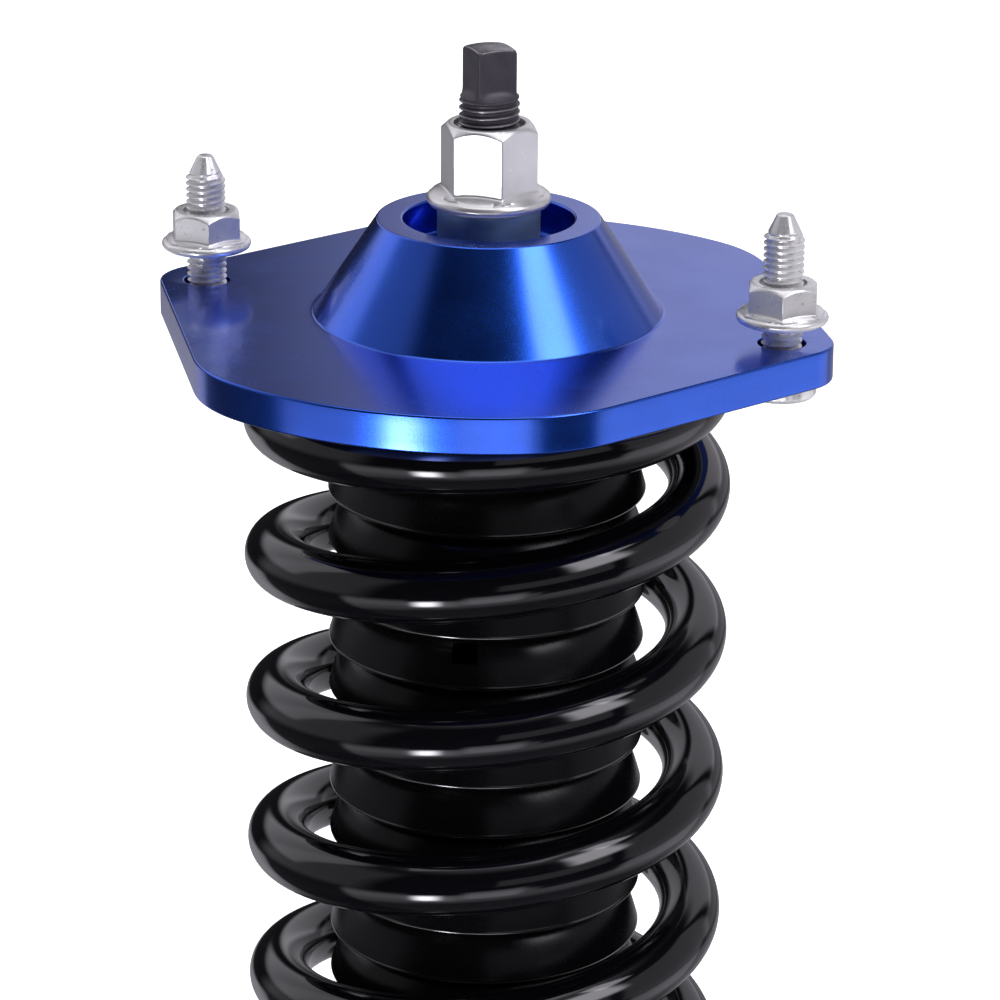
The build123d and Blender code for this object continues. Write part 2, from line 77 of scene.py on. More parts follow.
# --- camera
CAMERA_TURN = radians(19.387)          # from square on to the studs, towards the right one
CAMERA_PITCH = radians(19.41)          # downwards
CAMERA_ROLL = radians(0.441)
CAMERA_PLACE = (0.279586, -0.786607, 0.254527)  # metres
SENSOR, LENS_PER_SENSOR = 36, 4.4301
NEAREST, FARTHEST = 0.05, 60           # metres


def placed(name, data):
    """A new object, linked to the scene."""
    made = bpy.data.objects.new(name, data)
    bpy.context.scene.collection.objects.link(made)
    return made


camera = placed("camera", bpy.data.cameras.new("camera"))
camera.data.sensor_width = SENSOR
camera.data.lens = LENS_PER_SENSOR * SENSOR
camera.data.clip_start, camera.data.clip_end = NEAREST, FARTHEST
camera.matrix_world = (Matrix.Translation(CAMERA_PLACE) @ Matrix.Rotation(CAMERA_TURN, 4, "Z")
                       @ Matrix.Rotation(pi / 2 - CAMERA_PITCH, 4, "X")
                       @ Matrix.Rotation(CAMERA_ROLL, 4, "Z"))
bpy.context.scene.camera = camera
bpy.context.scene.view_settings.view_transform = "Standard"


# --- node trees
class Tree:
    """Short ways to add nodes to a node tree and join them."""

    def __init__(self, tree):
        self.nodes, self.links = tree.nodes, tree.links

    def add(self, kind, sets=None, **sockets):
        node = self.nodes.new("ShaderNode" + kind)
        for key, value in (sets or {}).items():
            setattr(node, key, value)
        for key, value in sockets.items():
            self.put(node, key.replace("_", " "), value)
        return node

    def put(self, node, socket, value):
        target = node.inputs[socket]
        if isinstance(value, bpy.types.NodeSocket):
            self.links.new(value, target)
        else:
            target.default_value = value

    def fill(self, kind, values, **sets):
        """First output of a new node whose first sockets are filled in order."""
        node = self.add(kind, sets)
        for i, value in enumerate(values):
            self.put(node, i, value)
        return node.outputs[0]

    def math(self, operation, *values):
        return self.fill("Math", values, operation=operation)

    def ramp(self, value, low, high, out_low=0, out_high=1):
        return self.fill("MapRange", (value, low, high, out_low, out_high),
                         interpolation_type="SMOOTHSTEP")

    def noise(self, where, scale, detail=3, stretch=(1, 1, 1)):
        mapped = self.add("Mapping", Vector=where, Scale=stretch)
        return self.add("TexNoise", Vector=mapped.outputs[0], Scale=scale, Detail=detail).outputs[0]

    def mix(self, share, a, b):
        node = self.add("Mix", {"data_type": "RGBA"})
        self.put(node, 0, share)
        self.put(node, 6, a)
        self.put(node, 7, b)
        return node.outputs[2]


def colour(r, g, b):
    return (r, g, b, 1)


WHITE = colour(1, 1, 1)


def principled(name):
    """A new material, its node tree, its shader and object coordinates."""
    made = bpy.data.materials.new(name)
    made.use_nodes = True
    tree = Tree(made.node_tree)
    shader = made.node_tree.nodes["Principled BSDF"]
    return made, tree, shader, tree.add("TexCoord").outputs["Object"]


DRIFT = (0.3, 0.7)                     # the part of a noise's range that is spread over 0 to 1
SMUDGE_PER_PATCH = 2.7                 # how much finer roughness changes than colour
GRAIN_ROUGHNESS = 0.12                 # how far the grain moves the roughness
SPECK_EDGE = 0.06


def material(name, low, high, rough, *grains, metallic=0, patch=60, coat=(), ior=1.5, speck=None,
             sheen=0):
    """Principled surface. Its colour drifts between low and high over patches and its roughness over
    rough. Each of grains, as (scale, stretch, height in metres), presses a noise into it. speck is
    (scale, level, colour), and coat (weight, roughness, IOR[, True if the grain shows in it])."""
    made, tree, shader, where = principled(name)
    share = tree.ramp(tree.noise(where, patch, 4), *DRIFT)
    base = tree.mix(share, colour(*low), colour(*high))
    if speck:
        scale, level, shade = speck
        spots = tree.noise(where, scale, 2)
        base = tree.mix(tree.ramp(spots, level, level + SPECK_EDGE), base, colour(*shade))
    tree.put(shader, "Base Color", base)
    smudge = tree.ramp(tree.noise(where, patch * SMUDGE_PER_PATCH, 5), *DRIFT, *rough)
    fine = tree.math("SUBTRACT", tree.noise(where, grains[0][0], 2, grains[0][1]), 0.5)
    tree.put(shader, "Roughness", tree.math("MULTIPLY_ADD", fine, GRAIN_ROUGHNESS, smudge))
    fixed = {"Metallic": metallic, "IOR": ior, "Sheen Weight": sheen}
    fixed.update(zip(("Coat Weight", "Coat Roughness", "Coat IOR"), coat))
    for socket, value in fixed.items():
        tree.put(shader, socket, value)
    normal = None
    for scale, stretch, height in grains:
        bump = tree.add("Bump", Height=tree.noise(where, scale, 3, stretch), Distance=height,
                        Strength=1)
        if normal is not None:
            tree.put(bump, "Normal", normal)
        normal = bump.outputs[0]
    tree.put(shader, "Normal", normal)
    if len(coat) > 3:
        tree.put(shader, "Coat Normal", normal)
    return made


EVEN = (1, 1, 1)
DOWN = (1, 1, 0.03)                    # drawn out along the axis
ROUND = (0.12, 0.12, 1)                # fine along the axis: turning lines

ANODISED = material("anodised_blue", (0.016, 0.1, 0.66), (0.022, 0.125, 0.74), (0.22, 0.28),
                    (3400, EVEN, 4e-6), (2400, DOWN, 2e-6), metallic=1, patch=25,
                    coat=(0.62, 0.11, 1.5, True))
ZINC = material("zinc_bright", (0.77, 0.77, 0.78), (0.85, 0.85, 0.85), (0.29, 0.36),
                (900, EVEN, 1.5e-6), (260, EVEN, 2e-6), metallic=0.8, patch=90)
ZINC_FORGED = material("zinc_forged", (0.8, 0.8, 0.81), (0.9, 0.9, 0.9), (0.26, 0.38),
                       (1300, EVEN, 1.2e-5), (420, EVEN, 2.2e-5), metallic=0.6, patch=140,
                       speck=(700, 0.68, (0.45, 0.45, 0.46)))
BLACK_OXIDE = material("black_oxide", (0.068, 0.061, 0.075), (0.1, 0.092, 0.112), (0.44, 0.56),
                       (2600, EVEN, 6e-6), (500, EVEN, 1e-5), metallic=0.6, patch=120)
# lighter oxide: rubbed bright on the thread's crests (real wear), and a painted highlight on the rod
# end's upward faces
OXIDE_WEAR_AND_TOP_HIGHLIGHT = material("black_oxide_worn_and_painted_top_highlight", (0.19, 0.18, 0.2), (0.4, 0.39, 0.41), (0.26, 0.4),
                      (2600, EVEN, 6e-6), metallic=0.85, patch=300)
STEEL = material("bearing_steel", (0.6, 0.6, 0.62), (0.7, 0.7, 0.72), (0.2, 0.3), (1500, ROUND, 2e-6),
                 metallic=1)
# steel whose blue tint is a painted reflection of the blue anodised recess around it
COLLAR_PAINTED_BLUE_REFLECTION = material("collar_steel_painted_blue_reflection", (0.3, 0.47, 0.62), (0.38, 0.54, 0.68), (0.36, 0.46),
                        (1500, ROUND, 1e-6), metallic=0.85)
SPRING_PAINT = material("spring_gloss_black", (0.002, 0.002, 0.0032), (0.0032, 0.0032, 0.0048),
                        (0.06, 0.1), (240, EVEN, 4e-6), patch=20, coat=(0.15, 0.03, 1.5))
RUBBER = material("boot_rubber", (0.0028, 0.0028, 0.0036), (0.0042, 0.0042, 0.0052), (0.2, 0.3),
                  (1800, EVEN, 5e-6), (150, EVEN, 1e-5), patch=40, ior=1.3)
RUBBER_LIP = material("boot_rubber_lip", (0.003, 0.003, 0.0038), (0.0044, 0.0044, 0.0054),
                      (0.16, 0.26), (1800, EVEN, 4e-6), patch=40, coat=(1, 0.12, 1.7))
FOAM = material("bump_foam", (0.42, 0.36, 0.2), (0.55, 0.48, 0.28), (0.75, 0.9), (1600, EVEN, 1.2e-4),
                (500, EVEN, 2e-4), patch=80)
BLACK_STEEL = material("black_coated_steel", (0.012, 0.012, 0.014), (0.022, 0.022, 0.025),
                       (0.32, 0.46), (1100, EVEN, 1.5e-5), (350, EVEN, 2.5e-5), coat=(0.4, 0.2, 1.5))
CAST_BLACK = material("cast_black", (0.014, 0.014, 0.016), (0.024, 0.024, 0.027), (0.4, 0.56),
                      (700, EVEN, 4e-5), (260, EVEN, 6e-5), patch=50, coat=(0.35, 0.3, 1.5))
BODY_STEEL = material("body_steel", (0.33, 0.34, 0.36), (0.42, 0.43, 0.45), (0.22, 0.34),
                      (1400, ROUND, 4e-6), metallic=1, patch=50)
ALUMINIUM = material("plain_aluminium", (0.66, 0.67, 0.69), (0.76, 0.77, 0.78), (0.24, 0.36),
                     (1500, ROUND, 4e-6), metallic=1, patch=50)
BRONZE = material("bronze_band", (0.36, 0.19, 0.07), (0.48, 0.26, 0.1), (0.3, 0.44),
                  (1500, EVEN, 5e-6), metallic=0.8, patch=80)
NYLON = material("black_nylon", (0.01, 0.01, 0.011), (0.017, 0.017, 0.018), (0.42, 0.56),
                 (900, EVEN, 2e-5), patch=70)
BUSH_RUBBER = material("bush_rubber", (0.008, 0.008, 0.008), (0.015, 0.014, 0.013), (0.55, 0.72),
                       (1300, EVEN, 3e-5), (220, EVEN, 6e-5))
LINER = material("liner_weave", (0.3, 0.2, 0.05), (0.44, 0.31, 0.09), (0.55, 0.7), (2200, EVEN, 3e-5),
                 patch=90, sheen=0.2)


# --- meshes
WELD = 0.002                           # points of a thread that are nearer than this are joined
CREASE = radians(38)                   # edges that turn by more than this stay sharp
WIDE_CREASE = radians(50)


def mesh(name, points, faces, body, surface, replaces=(), weighted=True, merge=None, place=None):
    """A smooth-shaded piece from points in millimetres, moved by place, a 4x4, if that is given. It
    rides on a body and stands for CAD nodes."""
    if place is not None:
        matrix = np.array(place, float)
        points = np.asarray(points, float) @ matrix[:3, :3].T + matrix[:3, 3]
    data = bpy.data.meshes.new(name)
    data.from_pydata((np.asarray(points, float) * MM).tolist(), [], [list(map(int, f)) for f in faces])
    work = bmesh.new()
    work.from_mesh(data)
    if merge:
        bmesh.ops.remove_doubles(work, verts=work.verts, dist=merge * MM)
        bmesh.ops.dissolve_degenerate(work, edges=work.edges, dist=merge * MM)
    loose = [v for v in work.verts if not v.link_faces]
    bmesh.ops.delete(work, geom=loose, context="VERTS")
    bmesh.ops.recalc_face_normals(work, faces=work.faces)
    for face in work.faces:
        face.smooth = True
    work.to_mesh(data)
    work.free()
    made = placed(name, data)
    data.materials.append(surface)
    if weighted:
        data.set_sharp_from_angle(angle=CREASE)
        even = made.modifiers.new("even_normals", "WEIGHTED_NORMAL")
        even.mode, even.keep_sharp = "FACE_AREA", True
    if body:
        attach(made, body)
    if replaces:
        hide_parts(*replaces)
    return made


def rounded(points, steps=4):
    """(r, z) or (r, z, radius) corners to a list of (r, z), with an arc where a radius is given."""
    made, count = [], len(points)
    for i, p in enumerate(points):
        radius = p[2] if len(p) > 2 else 0
        here = Vector(p[:2])
        if not radius:
            made.append((here.x, here.y))
            continue
        a = (Vector(points[i - 1][:2]) - here).normalized()
        b = (Vector(points[(i + 1) % count][:2]) - here).normalized()
        half = a.angle(b) / 2
        reach = radius / tan(half)
        centre = here + (a + b).normalized() * (radius / sin(half))
        start, end = here + a * reach - centre, here + b * reach - centre
        turn = start.angle_signed(end)
        for k in range(steps + 1):
            t = -turn * k / steps
            made.append((centre.x + start.x * cos(t) - start.y * sin(t),
                         centre.y + start.x * sin(t) + start.y * cos(t)))
    return made


def fan(points, faces, ring, flip):
    """Close a ring of point numbers with triangles to the axis."""
    tip = len(points)
    points.append((0, 0, sum(points[i][2] for i in ring) / len(ring)))
    for a, b in zip(ring, ring[1:] + ring[:1]):
        faces.append((a, b, tip) if flip else (b, a, tip))


def columns(angles, profile_at, capped=False):
    """Points and faces of a surface round Z. profile_at(i, angle) gives its (r, z) column, which is a
    closed loop unless both ends are to be capped."""
    grid = np.array([profile_at(i, a) for i, a in enumerate(angles)], float)
    count, rows = grid.shape[:2]
    turn = np.asarray(angles)[:, None]
    points = np.stack([grid[..., 0] * np.cos(turn), grid[..., 0] * np.sin(turn), grid[..., 1]], -1)
    points = points.reshape(-1, 3)
    faces = []
    for i in range(count):
        j = (i + 1) % count
        for k in range(rows - 1 if capped else rows):
            m = (k + 1) % rows
            faces.append((i * rows + k, j * rows + k, j * rows + m, i * rows + m))
    if capped:
        points = list(points)
        fan(points, faces, [i * rows for i in range(count)], False)
        fan(points, faces, [i * rows + rows - 1 for i in range(count)], True)
    return points, faces


def ring_angles(count):
    return [TAU * i / count for i in range(count)]


def lathe(name, profile, body, surface, replaces=(), count=128, place=None):
    """A turned piece: profile is a closed loop of (r, z[, radius]) corners."""
    outline = rounded(profile)
    points, faces = columns(ring_angles(count), lambda i, a: outline)
    mesh(name, points, faces, body, surface, replaces, place=place)


def aside(x):
    return Matrix.Translation((x, 0, 0))


def thread_wave(phase, crest=0.14, root=0.16):
    """0 at the root and 1 at the crest of a rolled thread, along one pitch."""
    rise = 1 - abs(2 * phase - 1)
    rise = min(max((rise - root) / (1 - crest - root), 0), 1)
    return 0.55 * rise * rise * (3 - 2 * rise) + 0.45 * rise


def plain(*rows):
    """Rows for threaded() that are the same all round."""
    return [lambda i, a, row=row: row for row in rows]


def threaded(angles, low, high, pitch, per_pitch, radius_at, before, after):
    """A surface whose rows climb one pitch a turn, so that a crest lies along an edge line, closed at
    both ends. radius_at(angle, z, phase); before and after list functions (i, angle) of (r, z)."""
    count = len(angles)
    rows = (int(ceil((high - low) / pitch)) + 2) * per_pitch
    cross, faces = [], []

    def ring_row(row):
        start = len(cross)
        cross.extend((*row(i, a), a) for i, a in enumerate(angles))
        return start

    starts = [ring_row(row) for row in before]
    helix = len(cross)
    for k in range(rows + 1):
        for a in angles:
            share = (a - angles[0]) / TAU
            z = low + pitch * (k / per_pitch + share - 1)
            phase = (k / per_pitch) % 1
            if z < low or z > high:
                z = min(max(z, low), high)
                phase = ((z - low) / pitch - share) % 1
            cross.append((radius_at(a, z, phase), z, a))
    for k in range(rows):
        for i in range(count - 1):
            a = helix + k * count + i
            faces.append((a, a + 1, a + 1 + count, a + count))
        if k + per_pitch < rows:
            a = helix + k * count + count - 1
            b = helix + (k + per_pitch) * count
            faces.append((a, b, b + count, a + count))
    ends = [ring_row(row) for row in after]
    for chain in (starts + [helix], [helix + rows * count] + ends):
        for a, b in zip(chain, chain[1:]):
            for i in range(count):
                j = (i + 1) % count
                faces.append((a + i, a + j, b + j, b + i))
    points = [(r * cos(a), r * sin(a), z) for r, z, a in cross]
    for start, flip in ((starts[0], False), (ends[-1], True)):
        fan(points, faces, list(range(start, start + count)), flip)
    return points, faces


def arc(cx, cy, r, start, end, count):
    return [(cx + r * cos(start + (end - start) * k / count),
             cy + r * sin(start + (end - start) * k / count)) for k in range(count + 1)]


def hexagon_columns(across, turn, corner, per_side=14, per_corner=5):
    """(angle, radius) columns of a hexagon with rounded corners."""
    half = pi / 6
    centre_r = (across / 2 - corner) / cos(half)
    corners = []
    for k in range(6):
        at = turn + TAU * k / 6
        corners.append(arc(centre_r * cos(at), centre_r * sin(at), corner, at - half,
                           at + half, per_corner))
    made = []
    for here, following in zip(corners, corners[1:] + corners[:1]):
        made += here
        (x, y), (end_x, end_y) = here[-1], following[0]
        made += [(x + (end_x - x) * k / per_side, y + (end_y - y) * k / per_side)
                 for k in range(1, per_side)]
    return [(atan2(y, x) % TAU, hypot(x, y)) for x, y in made]


# --- top mount plate
PLATE_R, PLATE_T = 68.5, 7.3
FLAT_DIST, FLAT_ANGLE = 61.6, radians(30.5)
SET_BACK = 1                           # the outline stands this far behind the stud line
EAR_R, CORNER_R = 10.6, 31
STUD_X = 60
STUD_HOLE_R = 4.6
CONE_BASE_R, CONE_TOP_R, CONE_H = 34.5, 21.95, 19
RECESS_R, RECESS_FLOOR = 16.8, 11.7
MOUTH_R, RACE_R, CLIP_GROOVE_R = 13, 15, 16.2
PLATE_EDGE = 0.45                      # radius of the plate's rounded edges
STUD_HOLE = ((0.35, 0), (0.1, -0.1), (0, -0.35), (0, -PLATE_T + 0.3), (0.3, -PLATE_T))


def plate_outline():
    """The plate's closed outline, anticlockwise from the right ear: points and outward normals."""
    ear_x = (FLAT_DIST - EAR_R) / cos(FLAT_ANGLE)
    # the corner's round touches the flat and the plate's circle from inside
    along = sqrt((PLATE_R - CORNER_R) ** 2 - (FLAT_DIST - CORNER_R) ** 2)
    nx, ny = cos(FLAT_ANGLE), sin(FLAT_ANGLE)
    cx = nx * (FLAT_DIST - CORNER_R) - ny * along
    cy = ny * (FLAT_DIST - CORNER_R) + nx * along
    quarter = arc(ear_x, 0, EAR_R, 0, FLAT_ANGLE, 12)
    quarter += arc(cx, cy, CORNER_R, FLAT_ANGLE, atan2(cy, cx), 20)
    quarter += arc(0, 0, PLATE_R, atan2(cy, cx), pi / 2, 36)[1:]
    upper = quarter + [(-x, y) for x, y in quarter[-2::-1]]
    points = upper + [(x, -y) for x, y in upper[-2:0:-1]]
    normals = []
    for i, (x, y) in enumerate(points):
        px, py = points[i - 1]
        qx, qy = points[(i + 1) % len(points)]
        a = Vector((y - py, px - x)).normalized()
        b = Vector((qy - y, x - qx)).normalized()
        normals.append((a + b).normalized())
    return points, normals


def mount_plate():
    """The plate with its cone, stepped bore and stud holes, in loops that are filled in between."""
    points, faces = [], []

    def loop(ring):
        start = len(points)
        points.extend(ring)
        return list(range(start, start + len(ring)))

    def band(a, b):
        for i in range(len(a)):
            j = (i + 1) % len(a)
            faces.append((a[i], a[j], b[j], b[i]))

    outline, normals = plate_outline()
    quarter = [pi / 2 * k / 4 for k in range(5)]
    levels = [(PLATE_EDGE * (1 - sin(t)), -PLATE_EDGE * (1 - cos(t))) for t in quarter]

    def outer(inset, z):
        return loop([(x - n.x * inset, y - n.y * inset + SET_BACK, z)
                     for (x, y), n in zip(outline, normals)])

    def circle(centre_x, r, z, count):
        return loop([(centre_x + r * cos(a), r * sin(a), z) for a in ring_angles(count)])

    rings = [outer(inset, z) for inset, z in levels]
    for k in range(1, 4):
        rings.append(outer(0, -PLATE_EDGE - (PLATE_T - 2 * PLATE_EDGE) * k / 4))
    rings += [outer(inset, -PLATE_T - z) for inset, z in levels[::-1]]
    for a, b in zip(rings, rings[1:]):
        band(a, b)
    shells = [rings]
    for side in (-1, 1):
        hole = [circle(side * STUD_X, STUD_HOLE_R + grow, z, 64) for grow, z in STUD_HOLE]
        for a, b in zip(hole, hole[1:]):
            band(b, a)
        shells.append(hole)
    race_low, race_top = span("bearing_race")
    clip_low = span("bearing_circlip")[0]
    profile = rounded([(CONE_BASE_R + 1.2, 0), (CONE_BASE_R, 0, 0.8), (CONE_TOP_R, CONE_H, 0.55),
                       (RECESS_R, CONE_H, 0.45), (RECESS_R, RECESS_FLOOR, 1),
                       (MOUTH_R, RECESS_FLOOR, 0.35), (MOUTH_R, race_top), (RACE_R, race_top),
                       (RACE_R, race_low), (CLIP_GROOVE_R, race_low), (CLIP_GROOVE_R, clip_low),
                       (RACE_R, clip_low), (RACE_R, -PLATE_T + 0.8), (RACE_R + 0.8, -PLATE_T)], 5)
    turned = [circle(0, r, z, 192) for r, z in profile]
    for a, b in zip(turned, turned[1:]):
        band(a, b)
    shells.append(turned)

    work = bmesh.new()
    verts = [work.verts.new(Vector(p) * MM) for p in points]
    for face in faces:
        work.faces.new([verts[i] for i in face])
    for end in (0, -1):
        rims = []
        for shell in shells:
            ring = [verts[i] for i in shell[end]]
            for pair in zip(ring, ring[1:] + ring[:1]):
                rims.append(work.edges.get(pair) or work.edges.new(pair))
        bmesh.ops.triangle_fill(work, edges=rims, use_beauty=True, use_dissolve=False)
    work.verts.index_update()
    made_points = [v.co / MM for v in work.verts]
    made_faces = [[v.index for v in f.verts] for f in work.faces]
    work.free()
    mesh("mount_plate_blue", made_points, made_faces, "top_mount", ANODISED,
         ["mount_plate"])


mount_plate()


# --- fasteners
RIM_SHARE, FLANGE_RISE = 0.21, 0.297   # thickness of the rim to its radius; slope of the flange's top
CHAMFER_SHARE = 0.472                  # radius where the top chamfer starts, to the width across flats
CHAMFER_FALL = tan(radians(41))


def flange_nut(node, centre_x, across, flange_r, bore_r, turn, body, surface, sink, corner):
    """Hexagon with a coned top on a flange with a rounded rim; sink is its countersink's width."""
    z, top = span(node)
    rim = RIM_SHARE * flange_r
    chamfer_r = CHAMFER_SHARE * across
    hexagon = hexagon_columns(across, radians(turn), corner)

    def cone(r):
        return z + rim + FLANGE_RISE * (flange_r - r)

    def profile(i, angle):
        r = hexagon[i][1]
        edge = top - (r - chamfer_r) * CHAMFER_FALL
        return [(bore_r + 0.5, z), (flange_r - 1.3 * rim, z), (flange_r - 0.42 * rim, z + 0.05 * rim),
                (flange_r - 0.16 * rim, z + 0.2 * rim), (flange_r - 0.03 * rim, z + 0.42 * rim),
                (flange_r, z + 0.62 * rim), (flange_r - 0.07 * rim, z + 0.82 * rim),
                (flange_r - 0.22 * rim, z + 0.95 * rim), (flange_r - 0.46 * rim, z + 1.04 * rim),
                (0.5 * (flange_r + r) + 0.2, cone(0.5 * (flange_r + r))),
                (r + 0.45, cone(r + 0.45)), (r + 0.14, cone(r) + 0.08), (r, cone(r) + 0.4),
                (r, 0.5 * (cone(r) + edge)), (r, edge - 0.22), (r - 0.03, edge - 0.08),
                (r - 0.12, edge + 0.04), (0.5 * (r + chamfer_r), 0.5 * (edge + top)),
                (chamfer_r + 0.1, top - 0.06), (chamfer_r - 0.15, top),
                (0.5 * (chamfer_r + bore_r + sink), top),
                (bore_r + sink + 0.12, top), (bore_r + sink, top - 0.1),
                (bore_r + 0.9 * sink, top - 3.2 * sink), (bore_r, top - 3.7 * sink), (bore_r, z + 0.5)]

    points, faces = columns([a for a, _ in hexagon], profile)
    mesh(node.replace("nut", "flange_nut"), points, faces, body, surface, [node],
         place=aside(centre_x))


flange_nut("rod_nut", 0, across=17, flange_r=12.2, bore_r=6.05, turn=4.7, body="rod", surface=ZINC,
           sink=0.95, corner=0.35)
for hand, stud_x, nut_turn in (("right", STUD_X, 46.1), ("left", -STUD_X, 56.6)):
    flange_nut("stud_nut_" + hand, stud_x, across=13, flange_r=8.95, bore_r=4, turn=nut_turn,
               body="top_mount", surface=ZINC_FORGED, sink=0.6, corner=0.3)


M8_PITCH, M12_PITCH = 1.25, 1.5
STUD_CORE_R, STUD_CREST_R, STUD_TIP_R = 3.02, 3.96, 1.35
STUD_TAPER, STUD_TAPER_R = 4.3, 3.62   # length of the pointed end and radius where it starts
STUD_HEAD = 3.2                        # height of the knurled head


def mount_stud(hand, centre_x, spin):
    """Press-in stud with a knurled head, a rolled thread and a pinched, pointed tip."""
    node = "mount_stud_" + hand
    tip_z = span(node)[1]
    head_low = -PLATE_T - STUD_HEAD
    taper_z = tip_z - STUD_TAPER
    neck = -PLATE_T + 3.5                # the thread starts inside the plate's hole

    def pinch(angle):
        return 1 - 0.07 * abs(cos(2.5 * angle + spin)) ** 3

    def radius(angle, z, phase):
        r = STUD_CORE_R + (STUD_CREST_R - STUD_CORE_R) * thread_wave(phase)
        if z < neck + 1.2:
            r = min(r, STUD_CORE_R + 0.2)
        t = (z - taper_z) / (tip_z - taper_z)
        if t > 0:
            cone = STUD_TAPER_R + (STUD_TIP_R + 0.18 - STUD_TAPER_R) * t
            r = min(r, cone * pinch(angle))
        return r

    def knurl(r, z, depth):
        return lambda i, a: (r - depth * (i % 4 == 0) - depth * 0.4 * (i % 4 == 2), z)

    before = plain((5.9, head_low))
    before += [knurl(6.55, head_low + 0.12, 0.05), knurl(6.92, head_low + 0.55, 0.12),
               knurl(7, head_low + 1, 0.16), knurl(7, -PLATE_T - 0.6, 0.16),
               knurl(6.85, -PLATE_T - 0.05, 0.08)]
    before += plain((6.3, -PLATE_T), (STUD_HOLE_R, -PLATE_T), (STUD_HOLE_R, -PLATE_T + 0.3),
                    (STUD_HOLE_R, neck - 0.3), (STUD_HOLE_R - 0.3, neck), (STUD_CORE_R + 0.2, neck))
    after = [lambda i, a: ((STUD_TIP_R + 0.02) * pinch(a) ** 0.5, tip_z - 0.09)]
    after += plain((STUD_TIP_R - 0.35, tip_z))
    points, faces = threaded(ring_angles(96), neck, tip_z - 0.28, M8_PITCH, 12, radius, before, after)
    mesh("mount_stud_thread_" + hand, points, faces, "top_mount", ZINC_FORGED, [node],
         merge=WELD, place=aside(centre_x))


mount_stud("right", STUD_X, 0.4)
mount_stud("left", -STUD_X, 1.6)


# --- damper rod
ROD_R = 10
THREAD_R, THREAD_CORE_R, THREAD_END_R = 5.93, 5.2, 5.75
THREAD_LOW, THREAD_TOP, SQUARE_Z = 20, 43.4, 45.3
COLLAR_STOP, PISTON_STOP = -18, -154
SPIGOT_R = 5.9                         # of the rod's stepped ends
ROD_FOOT, ROD_TOP = span("damper_rod")
SQUARE_AF, SQUARE_CORNER_FLAT, SQUARE_TURN = 8.1, 11.2, radians(43.5)
SQUARE_BLEND = 0.02                    # how softly its flats run into its corners


def square(angle):
    """Radius of the square drive, whose corners are cut to flats, at an angle."""
    face = (angle - SQUARE_TURN + pi / 4) % (pi / 2) - pi / 4
    cut = pi / 4 - abs(face)
    flat = SQUARE_AF / 2 / cos(face)
    corner = SQUARE_CORNER_FLAT / 2 / cos(cut)
    return -SQUARE_BLEND * log(exp(-flat / SQUARE_BLEND) + exp(-corner / SQUARE_BLEND))


def damper_rod():
    """Rod with a thread and a square drive end above, and a plain spigot for the piston below."""

    def radius(angle, z, phase):
        r = THREAD_CORE_R + (THREAD_R - THREAD_CORE_R) * thread_wave(phase, 0.12, 0.25)
        t = (z - (THREAD_TOP - 0.9)) / 0.9   # the last of the thread runs out
        if t > 0:
            r = r + (THREAD_END_R - r) * min(1, t)
        return r

    def flare(t):
        """From the thread's end, t 0, to the square, t 1, in a hollow curve."""
        eased = 1 - (1 - t) ** 1.9

        def at(i, a):
            start = THREAD_END_R - 0.1 * t
            r = start + (min(square(a), start) - start) * eased
            return r, THREAD_TOP + (SQUARE_Z - THREAD_TOP) * t
        return at

    def dome(r):
        """Height of the turned end at a radius: a low dome inside a chamfer."""
        return ROD_TOP - 0.5 * (r / 4.7) ** 2 - max(0, r - 5.2) * 0.8

    def wall(share):
        """Up the square, share 0 at its foot and 1 at the edge of the end."""
        return lambda i, a: (square(a), SQUARE_Z + (dome(square(a)) - 0.22 - SQUARE_Z) * share)

    def crown(share):
        """Over the dome, share of the way out, with the edge itself turned down."""
        drop = 0.07 * max(0, share - 0.94) / 0.04
        return lambda i, a: (square(a) * share, dome(square(a) * share) - drop)

    before = plain(
        (4.6, ROD_FOOT), (5.3, ROD_FOOT + 0.05), (SPIGOT_R, ROD_FOOT + 0.7),
        (SPIGOT_R + 0.02, ROD_FOOT + 1.4), (SPIGOT_R + 0.02, PISTON_STOP - 0.1),
        (SPIGOT_R + 0.05, PISTON_STOP), (ROD_R - 0.55, PISTON_STOP),
        (ROD_R - 0.1, PISTON_STOP + 0.2), (ROD_R, PISTON_STOP + 0.7), (ROD_R, -90),
        (ROD_R, COLLAR_STOP - 0.7), (ROD_R - 0.15, COLLAR_STOP - 0.2),
        (ROD_R - 0.5, COLLAR_STOP), (SPIGOT_R + 0.05, COLLAR_STOP),
        (SPIGOT_R, COLLAR_STOP + 0.2), (SPIGOT_R, THREAD_LOW - 0.3), (THREAD_CORE_R, THREAD_LOW))
    after = [flare(t) for t in (0.12, 0.25, 0.4, 0.55, 0.7, 0.85, 1)]
    after += [wall(share) for share in (0.1, 0.5, 0.9, 1)]
    after += [crown(share) for share in (0.98, 0.94, 0.88, 0.8, 0.65, 0.5, 0.35, 0.2, 0.08)]
    points, faces = threaded(ring_angles(216), THREAD_LOW, THREAD_TOP, M12_PITCH, 16, radius, before,
                             after)
    made = mesh("damper_rod_square_end", points, faces, "rod", BLACK_OXIDE,
                ["damper_rod"], merge=WELD)
    made.data.materials.append(STEEL)
    made.data.materials.append(OXIDE_WEAR_AND_TOP_HIGHLIGHT)
    for face in made.data.polygons:
        if face.center.z < (COLLAR_STOP + 0.2) * MM:
            face.material_index = 1
        # the end's upward-facing top gets the lighter oxide: a painted highlight, as if lit from above
        elif face.center.z > (ROD_TOP - 1.2) * MM and face.normal.z > 0.8:
            face.material_index = 2
        # the thread's crests: rubbed-bright wear
        elif face.center.z < THREAD_TOP * MM and face.center.xy.length > (THREAD_R - 0.1) * MM:
            face.material_index = 2


damper_rod()


